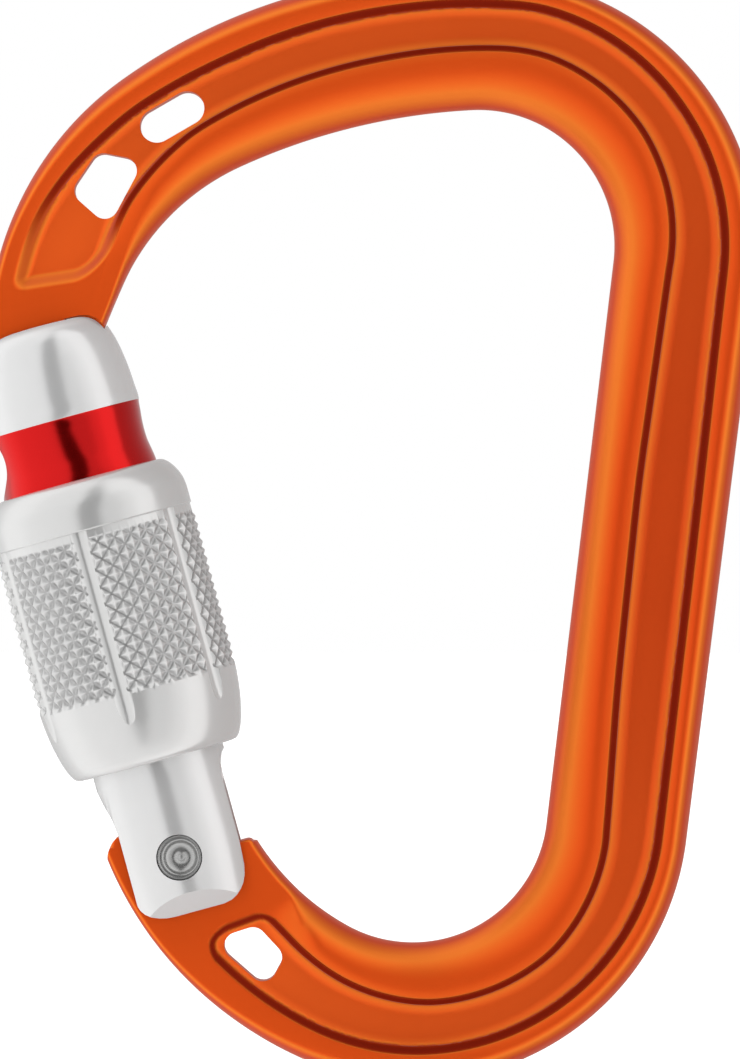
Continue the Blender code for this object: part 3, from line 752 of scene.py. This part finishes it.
def tang_outline():
    """The hinge tang, with a cam that lifts the plunger as the gate opens."""
    corners = list(TANG_OUTER_SIDE)
    for step in range(CAM_STEPS + 1):
        turn = OPENING_ANGLE * CAM_OVERRUN * step / CAM_STEPS
        corners += arc(CAM_RADIUS + CAM_LIFT * turn / OPENING_ANGLE, turn, turn, 0)
    corners += TANG_INNER_SIDE
    return rounded(gate_to_plane(corners), TANG_CORNER, 6, 18.0)


def nose_outline():
    """The block at the nose that closes the gate's slot."""
    return gate_to_plane(arc(NECK_TOP, *NOSE_ANGLES, 8) + list(NOSE_CORNERS))


def key_solid(name, grow, angles, steps):
    """The lock's round head and neck, swept about the rivet."""
    radius = HEAD_ROUND + grow
    neck = NECK_HALF + grow
    neck_turn = math.asin(neck / radius)
    profile = [(-neck, NECK_TOP + NECK_OVERLAP), (neck, NECK_TOP + NECK_OVERLAP)]
    for turn in np.linspace(neck_turn, math.tau - neck_turn, HEAD_STEPS + 1):
        profile.append((radius * math.sin(turn), HEAD_CENTRE + radius * math.cos(turn)))
    points = []
    for angle in np.radians(np.linspace(*angles, steps + 1)) - math.radians(GATE_TILT):
        for side, out in profile:
            points.append((RIVET[0] + out * math.sin(angle), side, RIVET[1] + out * math.cos(angle)))
    return mesh_object(name, points, tube_faces(steps + 1, len(profile)))


def make_ring(material):
    ring = ring_blank()
    boolean(ring, prism("tang", tang_outline(), TANG_HALF, TANG_RIM), "UNION")
    boolean(ring, prism("tip", gate_to_plane(HINGE_TIP), CUT_HALF, CUT_RIM))
    boolean(ring, prism("nose", nose_outline(), NOSE_HALF, NOSE_RIM), "UNION")
    for side in (-1, 1):
        middle = side * (LIP_HALF + LIP_CUT_HALF)
        boolean(ring, prism("lip", gate_to_plane(NOSE_LIP), LIP_CUT_HALF, CUT_RIM, middle))
    boolean(ring, key_solid("key", 0.0, LOCK_ANGLES, 12), "UNION")
    openings = [slot_outline(), rounded(NOSE_WINDOW, WINDOW_CORNER), rounded(HINGE_WINDOW, WINDOW_CORNER)]
    openings.append(np.array([RIVET + toward(5 * step) * RIVET_HOLE for step in range(72)]))
    for outline in openings:
        boolean(ring, prism("opening", outline, CUT_HALF, CUT_RIM))
    finish_piece(ring, "frame", "frame_body", material, sharp_angle=38.0)
    # hidden from reflections, so that those in the gate stay neutral
    ring.visible_glossy = False


# ---- Gate ----

CAP_PROFILE = (
    (0.01, 53.5), (4.3, 53.5), (5.2, 53.3), (5.95, 52.85), (6.5, 52.1), (6.85, 51.2), (7.12, 50.2),
    (7.36, 48.8), (7.52, 47.4), (7.62, 45.8), (7.66, 44.25),
)
BAND_PROFILE = (
    (7.62, 44.15), (7.52, 43.2), (7.42, 42.2), (7.38, 41.2), (7.42, 40.2), (7.58, 39.2), (7.72, 38.2),
)
SHAFT_TOP = ((7.72, 36.4), (7.0, 35.6), (7.0, 34.6))
SHAFT_FOOT = ((6.6, 12.2), (6.6, -4.6), (6.5, -5.0), (6.3, -5.4), (6.0, -5.7), (0.01, -5.7))
GATE_SEGMENTS = 160
THREAD_SPAN = (13.0, 34.0)
THREAD_ROOT = 7.1
THREAD_CREST = 7.4
THREAD_LEAD = 3.0
THREAD_STARTS = 3
THREAD_FADE = (1.2, 0.8)  # at its lower and upper end
THREAD_ROWS = 150
BAND_SPAN = (38.0, 44.2)
BAND_LEAST_RADIUS = 7.0
BAND_LEAST_OUTWARD = 0.8  # cosine between a face's normal and the way out from the axis
NOSE_SLOT_END = ((3.2, 48.0), (3.2, 55.5), (-12.0, 55.5))
NOSE_SLOT_RIM = 0.2
SHOULDER_SLOT = ((2.6, 47.1), (6.9, 52.1), (10.0, 55.5), (2.6, 55.5))
LIP_GAP = 0.2
KEY_OVERTURN = 0.4  # degrees that the key's pocket goes on past the closed place
EAR_SIDES = (
    (-6.2, 12.5), (-6.2, 8.2), (-5.9, 6.8), (-5.45, 5.2), (-5.24, 3.6), (-5.24, 0.0), (-5.26, -3.6),
    (-5.1, -4.1), (-4.76, -4.55), (-4.2, -4.99), (-3.5, -5.3), (-2.8, -5.48), (-2.0, -5.55), (3.0, -5.55),
    (3.8, -5.38), (4.4, -5.05), (4.9, -4.6), (5.3, -4.1), (5.62, -3.4), (5.85, -2.4), (6.02, 0.0),
    (6.02, 6.6), (6.1, 7.6), (6.5, 8.6), (7.2, 9.4),
)
EAR_GAP = (3.45, 4.5)  # half width, and where its round end is centred
EAR_GAP_STEPS = 32
EAR_FACET = (-3.65, 0.75, -0.02)  # place along, fall towards the gap, rise across
EAR_FACET_DEPTH = 6.5  # the depth at which it has that place
EAR_FACET_INNER = 2.0  # the wedge starts at this depth, inside the gap
EAR_FACET_DROP = 6.0  # height of the wedge
SPRING_BORE = ((0.01, 30.0), (2.6, 30.0), (2.6, 5.0), (0.01, 5.0))
RIVET_SEAT = ((0.01, 9.0), (2.24, 9.0), (2.24, 5.15), (RIVET_HOLE, 5.15))
BORE_SEGMENTS = 48
RIVET_SEGMENTS = 96


def thread(angles, radius, along):
    """Three-start screw thread with flat crests and roots that fades out at both ends."""
    low, high = THREAD_SPAN
    if not low < along < high:
        return np.full(len(angles), radius)
    phase = (along / THREAD_LEAD - angles / math.tau) * THREAD_STARTS
    ridge = np.abs((phase % 1.0) * 2 - 1)
    ridge = np.clip(ridge * 1.5 - 0.25, 0, 1)
    fade = min(1.0, (along - low) / THREAD_FADE[0], (high - along) / THREAD_FADE[1])
    return THREAD_ROOT + (THREAD_CREST - THREAD_ROOT) * ridge * fade


def gate_profile():
    """The turned bar from its cap down to its foot."""
    low, high = THREAD_SPAN
    upper = smooth_profile(CAP_PROFILE + BAND_PROFILE + SHAFT_TOP, 5, sharp_turn=40)
    screw = [(THREAD_ROOT, along) for along in np.linspace(high, low, THREAD_ROWS)]
    return upper + screw + smooth_profile(SHAFT_FOOT, 4, sharp_turn=60)


def ear_gap():
    """A slot milled across the gate, with a round end."""
    half, centre = EAR_GAP
    outline = [(-half, -BESIDE_BAR), (half, -BESIDE_BAR)]
    for turn in np.linspace(0, math.pi, EAR_GAP_STEPS + 1):
        outline.append((half * math.cos(turn), centre + half * math.sin(turn)))
    points = [(across, depth, along) for across in (-BESIDE_BAR, BESIDE_BAR) for depth, along in outline]
    return mesh_object("ear_gap", points, tube_faces(2, len(outline)), gate_matrix(GATE_OFFSET))


def ear_facet(side):
    """A wedge under one ear that leaves its slanted end facet."""
    start, fall, rise = EAR_FACET
    far = BESIDE_BAR
    points = []
    for drop in (0, -EAR_FACET_DROP):
        for across, depth in ((-far, EAR_FACET_INNER), (far, EAR_FACET_INNER), (far, far), (-far, far)):
            along = start - fall * (EAR_FACET_DEPTH - depth) + rise * across + drop
            points.append((across, side * depth, along))
    return mesh_object("ear_facet", points, tube_faces(2, 4), gate_matrix())


def gate_cutters():
    """What is taken out of the turned bar, one solid at a time."""
    slot = arc(NECK_TOP - LOCK_GAP, OPEN_SIDE_ANGLE, LOCK_ANGLES[1], 12) + list(NOSE_SLOT_END)
    yield prism("nose_slot", gate_to_plane(slot), NOSE_HALF + LOCK_GAP, NOSE_SLOT_RIM)
    yield prism("shoulder_slot", gate_to_plane(SHOULDER_SLOT), LIP_HALF + LIP_GAP, CUT_RIM)
    yield ear_gap()
    yield ear_facet(-1)
    yield ear_facet(1)
    far = BESIDE_BAR
    waste = ((-far, -far), (-far, EAR_SIDES[0][1])) + EAR_SIDES + ((far, EAR_SIDES[-1][1]), (far, -far))
    yield prism("ear_sides", gate_to_plane(waste), far, CUT_RIM)
    yield key_solid("key_pocket", LOCK_GAP, (OPEN_SIDE_ANGLE, LOCK_ANGLES[1] + KEY_OVERTURN), 16)
    yield turned("bore", SPRING_BORE, gate_matrix(GATE_OFFSET), BORE_SEGMENTS)
    yield turned("seat", mirrored(RIVET_SEAT), rivet_matrix(), RIVET_SEGMENTS)


def paint_band(gate, material):
    """Colours the recess under the cap, but not the faces of the slot inside it."""
    gate.data.materials.append(material)
    low, high = BAND_SPAN
    to_gate = gate_matrix(GATE_OFFSET).inverted()
    turn_to_gate = to_gate.to_3x3()
    for face in gate.data.polygons:
        place = to_gate @ face.center / MM
        outward = Vector((place.x, place.y, 0)).normalized().dot(turn_to_gate @ face.normal)
        on_skin = math.hypot(place.x, place.y) > BAND_LEAST_RADIUS and outward > BAND_LEAST_OUTWARD
        if low < place.z < high and on_skin:
            face.material_index = 1


def make_gate(bright, red):
    gate = turned("gate_bar", gate_profile(), gate_matrix(GATE_OFFSET), GATE_SEGMENTS, relief=thread)
    for cutter in gate_cutters():
        boolean(gate, cutter)
    finish_piece(gate, "gate", "gate_body", bright, sharp_angle=34.0)
    paint_band(gate, red)


RIVET_HEAD = (
    (0.01, 5.86), (0.22, 5.82), (0.42, 5.70), (0.62, 5.62), (0.9, 5.60), (1.2, 5.68), (1.45, 5.84),
    (1.6, 6.04), (1.72, 6.17), (1.84, 6.2), (2.02, 6.18), (2.16, 6.08), (2.2, 5.9), (2.2, 5.3), (1.95, 5.2),
)
DISH_SHIFT = 0.2  # the heads were set a little off centre
DISH_DEPTH = 5.25  # only what lies beyond this depth is shifted
DISH_REACH = 2.0  # and within this radius


def make_rivet(material):
    """A rivet with dished heads: a flat rim, a bowl and a small boss in its middle."""
    profile = smooth_profile(mirrored(RIVET_HEAD), 4, sharp_turn=55)
    rivet = turned("rivet", profile, rivet_matrix(), RIVET_SEGMENTS)
    middle = Vector((RIVET[0], 0, RIVET[1])) * MM
    for vertex in rivet.data.vertices:
        out = math.hypot(vertex.co.x - middle.x, vertex.co.z - middle.z) / MM
        if abs(vertex.co.y) > DISH_DEPTH * MM and out < DISH_REACH:
            vertex.co.x += DISH_SHIFT * MM * (1 - (out / DISH_REACH) ** 4)
    finish_piece(rivet, "gate", "gate_rivet", material, sharp_angle=40.0)


COIL_SPAN = (10.8, 29.5)
COIL_TURNS = 9
COIL_ROWS = 40  # per turn
COIL_RADIUS = 1.8
WIRE_RADIUS = 0.3
WIRE_SIDES = 14


def make_spring(material):
    """A coil of round wire in the gate's bore."""
    low, high = COIL_SPAN
    rows = COIL_TURNS * COIL_ROWS
    rise = (high - low) / (COIL_TURNS * math.tau)
    points = []
    for turn in np.linspace(0, COIL_TURNS * math.tau, rows + 1):
        out = np.array((math.cos(turn), math.sin(turn), 0))
        ahead = np.array((-math.sin(turn) * COIL_RADIUS, math.cos(turn) * COIL_RADIUS, rise))
        ahead /= np.linalg.norm(ahead)
        up = np.cross(out, ahead)
        centre = out * COIL_RADIUS + np.array((0, 0, low + rise * turn))
        for side in range(WIRE_SIDES):
            angle = math.tau * side / WIRE_SIDES
            points.append(centre + (out * math.cos(angle) + up * math.sin(angle)) * WIRE_RADIUS)
    spring = mesh_object("gate_spring", points, tube_faces(rows + 1, WIRE_SIDES), gate_matrix(GATE_OFFSET))
    finish_piece(spring, "gate", "return_spring", material)
    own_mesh(spring)


# ---- Sleeve ----

SLEEVE_TOP = (
    (8.02, 38.0), (8.35, 37.9), (8.75, 37.6), (9.15, 37.12), (9.5, 36.5), (9.78, 35.8), (9.9, 35.1),
    (9.93, 34.4), (9.93, 33.2),
)
SLEEVE_STEP = ((9.86, 33.12), (9.78, 33.05), (9.78, 32.35))
SLEEVE_FOOT = (
    (9.92, 17.0), (9.86, 16.0), (9.75, 14.9), (9.6, 13.8), (9.38, 12.7), (9.1, 11.6), (8.8, 10.75),
    (8.45, 10.05), (8.1, 9.7), (7.75, 9.6),
)
SLEEVE_BORE = (
    (7.5, 9.7), (7.5, 24.1), (8.0, 24.3), (8.0, 24.65), (8.55, 24.65), (8.55, 26.15), (8.0, 26.15),
    (7.95, 37.9),
)
KNURL_SPAN = (17.0, 32.2)
KNURL_RADIUS = 10.0
KNURL_FOOT = (1.2, 9.9)  # over this length at its foot the knurl narrows to this radius
KNURL_DEPTH = 0.42
KNURL_COLUMNS = 36
KNURL_PERIOD = 1.73
KNURL_PHASE = 1.9
KNURL_CELLS = 16  # mesh cells across each column and period
KNURL_FLAT = 0.93  # the points are flattened at this share of their height
KNURL_VALLEY = 0.35  # share of each flank that the groove's round bottom takes
FLUTES = 6
FLUTE_PHASE = -97.5
FLUTE_CENTRE = 10.62
FLUTE_PROFILE = (
    (0.01, 33.1), (1.2, 33.1), (1.2, 15.2), (1.13, 14.2), (0.95, 13.5), (0.6, 13.0), (0.01, 12.7),
)


def flank(value):
    """Height between two grooves: 1 at whole numbers, falling to a round bottom half-way between them."""
    rise = 1 - 2 * np.abs(value - np.round(value))
    round_part = rise**2 / (2 * KNURL_VALLEY)
    return np.where(rise < KNURL_VALLEY, round_part, rise - KNURL_VALLEY / 2) / (1 - KNURL_VALLEY / 2)


def knurl(angles, along):
    """Height of the knurl between the grooves that wind to the left, and to the right."""
    columns = (np.degrees(angles) - KNURL_PHASE) * KNURL_COLUMNS / 360
    rows = (along - KNURL_SPAN[0]) / KNURL_PERIOD
    return flank(columns + rows), flank(columns - rows)


def darkness(height, other):
    """Painted shade in a groove, by its own height: a lens from crossing to crossing, widest half way."""
    return np.clip(1.5 - 2.3 * height / np.clip(other, 0.05, 1) ** 0.7, 0, 1)


def knurl_rings(angles):
    """(radii, along, painted shade) of the knurl's rings of points, from the top down."""
    low, high = KNURL_SPAN
    taper, foot_radius = KNURL_FOOT
    cell = KNURL_PERIOD / KNURL_CELLS
    rings = []
    for along in np.arange(int((high - low) / cell), -1, -1) * cell + low:
        body = np.interp(along, [low, low + taper, high], [foot_radius, KNURL_RADIUS, KNURL_RADIUS])
        left, right = knurl(angles, along)
        height = np.minimum(np.minimum(left, right), KNURL_FLAT)
        dark = np.maximum(darkness(left, right), darkness(right, left))
        rings.append((body - KNURL_DEPTH * (KNURL_FLAT - height), along, dark))
    return rings


def sleeve_faces(angles, places, knurled):
    """Faces between the rings. Those in the knurled rows are split along the nearer groove."""
    segments = len(angles)
    half_step = math.pi / segments
    faces = []
    for row, along in enumerate(places):
        below = (row + 1) % len(places)
        if row in knurled:
            left, right = knurl(angles + half_step, (along + places[below]) / 2)
        for column in range(segments):
            beside = (column + 1) % segments
            a = row * segments + column
            b = row * segments + beside
            c = below * segments + beside
            d = below * segments + column
            if row not in knurled:
                faces.append((a, b, c, d))
            elif left[column] < right[column]:
                faces += [(a, b, c), (a, c, d)]
            else:
                faces += [(a, b, d), (b, c, d)]
    return faces


def flute(index):
    """A round-ended groove along the sleeve."""
    turn = Matrix.Rotation(math.radians(FLUTE_PHASE + 360 / FLUTES * index), 4, "Z")
    place = gate_matrix(GATE_OFFSET) @ turn @ Matrix.Translation((FLUTE_CENTRE * MM, 0, 0))
    return turned("flute", FLUTE_PROFILE, place, BORE_SEGMENTS)


def make_sleeve(material):
    segments = KNURL_COLUMNS * KNURL_CELLS
    angles = np.radians(KNURL_PHASE) + np.linspace(0, math.tau, segments, endpoint=False)
    plain = np.zeros(segments)
    top = smooth_profile(SLEEVE_TOP, 4, sharp_turn=50) + list(SLEEVE_STEP)
    foot = smooth_profile(SLEEVE_FOOT, 3, sharp_turn=60)[1:] + list(SLEEVE_BORE)
    middle = knurl_rings(angles)
    rings = [(plain + radius, along, plain) for radius, along in top]
    rings += middle
    rings += [(plain + radius, along, plain) for radius, along in foot]
    points = []
    for radii, along, _ in rings:
        points += list(zip(radii * np.cos(angles), radii * np.sin(angles), plain + along))
    knurled = range(len(top), len(top) + len(middle) - 1)
    faces = sleeve_faces(angles, [along for _, along, _ in rings], knurled)
    sleeve = mesh_object("knurled_sleeve", points, faces, gate_matrix(GATE_OFFSET))
    # painted shade in the knurl's grooves, kept on the points
    groove = sleeve.data.attributes.new("groove", "FLOAT", "POINT")
    groove.data.foreach_set("value", np.concatenate([dark for _, _, dark in rings]).astype(np.float32))
    for index in range(FLUTES):
        boolean(sleeve, flute(index))
    finish_piece(sleeve, "sleeve", "locking_sleeve", material, sharp_angle=24.0)


# ---- Stage ----

FLOOR_SIZE = 3.0  # half of its side, in metres
FLOOR_GAP = 0.00005

# Studio tent: brightness by the angle from the eye, on its left and on its right, in degrees
TENT_LEFT = ((0, 0.8), (35, 0.87), (65, 0.92), (95, 1.08), (115, 1.05), (130, 0.7), (150, 0.5), (180, 0.5))
TENT_RIGHT = ((0, 0.57), (32, 0.62), (50, 0.88), (63, 1.1), (80, 1.1), (88, 0.42), (120, 0.38), (180, 0.45))
TENT_BLEND = 0.5  # half width of the change from the left side to the right one
BRIGHTNESS = 1.3
EYE_GAP = (12.0, 42.0)  # half width and height of the dark gap where the camera looks in
EYE_LIFT = 0.2
GAP_EDGE = (0.75, 1.35)  # start and end of its soft edge, as shares of its size
GAP_LIGHT = 0.04
BEHIND = 9.0  # puts the half behind the object outside the gap

EYE = (-0.05, -0.147)  # where the camera's axis meets the ring's plane
SEEN_HEIGHT = 103.8
LENS = 300.0
SENSOR = 36.0


def make_floor():
    size = FLOOR_SIZE
    level = CAD_BOX[0].z - FLOOR_GAP
    corners = [(-size, -size, level), (size, -size, level), (size, size, level), (-size, size, level)]
    mesh = bpy.data.meshes.new("floor")
    mesh.from_pydata(corners, [], [(0, 1, 2, 3)])
    floor = bpy.data.objects.new("floor", mesh)
    bpy.context.scene.collection.objects.link(floor)
    mesh.materials.append(pale_floor())
    floor.visible_glossy = False


def tent_side(nodes, table, from_eye):
    """Brightness of one side of the tent, from its table of (angle, value)."""
    ramp = nodes.node("ShaderNodeValToRGB")
    ramp.color_ramp.interpolation = "EASE"
    elements = ramp.color_ramp.elements
    while len(elements) < len(table):
        elements.new(0.5)
    for element, (angle, value) in zip(elements, table):
        element.position = angle / 180
        element.color = (value, value, value, 1)
    nodes.link(from_eye, ramp.inputs[0])
    return ramp.outputs[0]


def eye_gap(nodes, x, y, z):
    """Light inside and outside the upright oval gap in front of the camera."""
    half_width, half_height = (math.sin(math.radians(angle)) for angle in EYE_GAP)
    wide = nodes.maths("DIVIDE", x, half_width)
    high = nodes.maths("DIVIDE", nodes.maths("SUBTRACT", z, EYE_LIFT), half_height)
    square = nodes.maths("ADD", nodes.maths("POWER", wide, 2.0), nodes.maths("POWER", high, 2.0))
    behind = nodes.maths("MULTIPLY", nodes.maths("GREATER_THAN", y, 0.0), BEHIND)
    out = nodes.maths("ADD", nodes.maths("SQRT", square), behind)
    return nodes.spread(out, GAP_LIGHT, 1.0, *GAP_EDGE, "SMOOTHSTEP")


def make_light():
    """A pale tent with a dark gap where the camera looks in. The camera itself sees white."""
    world = bpy.data.worlds.new("studio")
    bpy.context.scene.world = world
    world.use_nodes = True
    world.node_tree.nodes.clear()
    nodes = Nodes(world.node_tree)
    x, y, z = nodes.split(nodes.node("ShaderNodeTexCoord").outputs["Generated"])
    angle = nodes.maths("ARCCOSINE", nodes.maths("MULTIPLY", y, -1.0))
    from_eye = nodes.maths("DIVIDE", angle, math.pi)
    to_right = nodes.spread(x, 0.0, 1.0, -TENT_BLEND, TENT_BLEND, "SMOOTHSTEP")
    left = tent_side(nodes, TENT_LEFT, from_eye)
    right = tent_side(nodes, TENT_RIGHT, from_eye)
    tent = nodes.node("ShaderNodeBackground")
    nodes.link(nodes.blend(to_right, left, right), tent.inputs["Color"])
    nodes.link(nodes.maths("MULTIPLY", eye_gap(nodes, x, y, z), BRIGHTNESS), tent.inputs["Strength"])
    plain = nodes.node("ShaderNodeBackground")
    plain.inputs["Color"].default_value = (1, 1, 1, 1)
    mix = nodes.node("ShaderNodeMixShader")
    nodes.link(nodes.node("ShaderNodeLightPath").outputs["Is Camera Ray"], mix.inputs[0])
    nodes.link(tent.outputs[0], mix.inputs[1])
    nodes.link(plain.outputs[0], mix.inputs[2])
    nodes.link(mix.outputs[0], nodes.node("ShaderNodeOutputWorld").inputs["Surface"])


def make_camera():
    data = bpy.data.cameras.new("camera")
    data.lens = LENS
    data.sensor_width = SENSOR
    camera = bpy.data.objects.new("camera", data)
    bpy.context.scene.collection.objects.link(camera)
    camera.location = Vector((EYE[0], -SEEN_HEIGHT * LENS / SENSOR, EYE[1])) * MM
    camera.rotation_euler = (math.pi / 2, 0, 0)
    bpy.context.scene.camera = camera


# ---- Build ----


def make_pieces():
    """Five pieces are drawn anew. Two keep their CAD shape and get a new material."""
    bright, red, satin, steel, wire = (turned_metal(name) for name in METALS)
    make_ring(orange_anodised())
    make_gate(bright, red)
    make_rivet(steel)
    make_spring(wire)
    make_sleeve(satin)
    for name, material in (("spring_plunger", steel), ("friction_ring", nylon())):
        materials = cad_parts[name].data.materials
        materials.clear()
        materials.append(material)


bpy.context.scene.view_settings.view_transform = "Standard"
make_pieces()
make_floor()
make_light()
make_camera()
